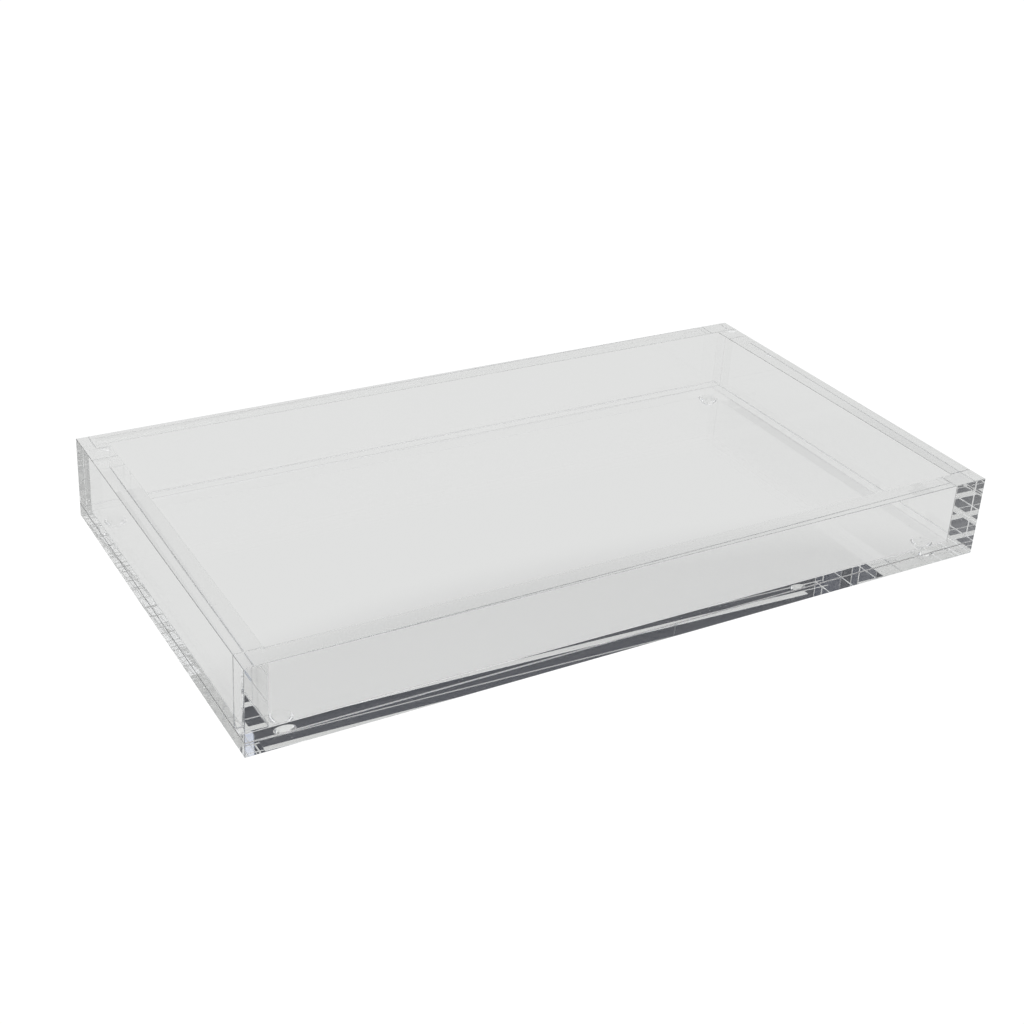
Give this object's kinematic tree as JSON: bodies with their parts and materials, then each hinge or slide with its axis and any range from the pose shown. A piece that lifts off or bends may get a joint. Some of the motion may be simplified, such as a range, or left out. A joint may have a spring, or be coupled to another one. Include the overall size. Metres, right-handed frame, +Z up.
{
  "type": "vanity tray",
  "caption": "Rectangular clear acrylic dresser tray: flat base plate, upright walls cemented on top, open well, domed bumper feet underneath.",
  "frame": {"origin": "middle of the footprint, on the surface that the feet stand on", "axes": "+X along the long side, +Y from the front wall to the back wall, +Z up out of the open top"},
  "size_m": [0.36, 0.2, 0.0416],
  "materials": {
    "clear_acrylic": "clear cast acrylic sheet, flame-polished faces and edges",
    "cured_cement": "thin clear line of cured acrylic cement",
    "clear_bumper": "clear soft polyurethane, slightly cloudy",
    "pad_adhesive": "clear pressure-sensitive adhesive"
  },
  "bodies": {
    "root": {"base_plate": "clear_acrylic", "front_wall": "clear_acrylic", "back_wall": "clear_acrylic", "left_wall": "clear_acrylic", "right_wall": "clear_acrylic", "cement_under_front_wall": "cured_cement", "cement_under_back_wall": "cured_cement", "cement_under_left_wall": "cured_cement", "cement_under_right_wall": "cured_cement", "cement_front_left_corner": "cured_cement", "cement_front_right_corner": "cured_cement", "cement_back_left_corner": "cured_cement", "cement_back_right_corner": "cured_cement", "foot_front_left": "clear_bumper", "foot_front_right": "clear_bumper", "foot_back_left": "clear_bumper", "foot_back_right": "clear_bumper", "foot_pad_front_left": "pad_adhesive", "foot_pad_front_right": "pad_adhesive", "foot_pad_back_left": "pad_adhesive", "foot_pad_back_right": "pad_adhesive"}
  },
  "joints": []
}
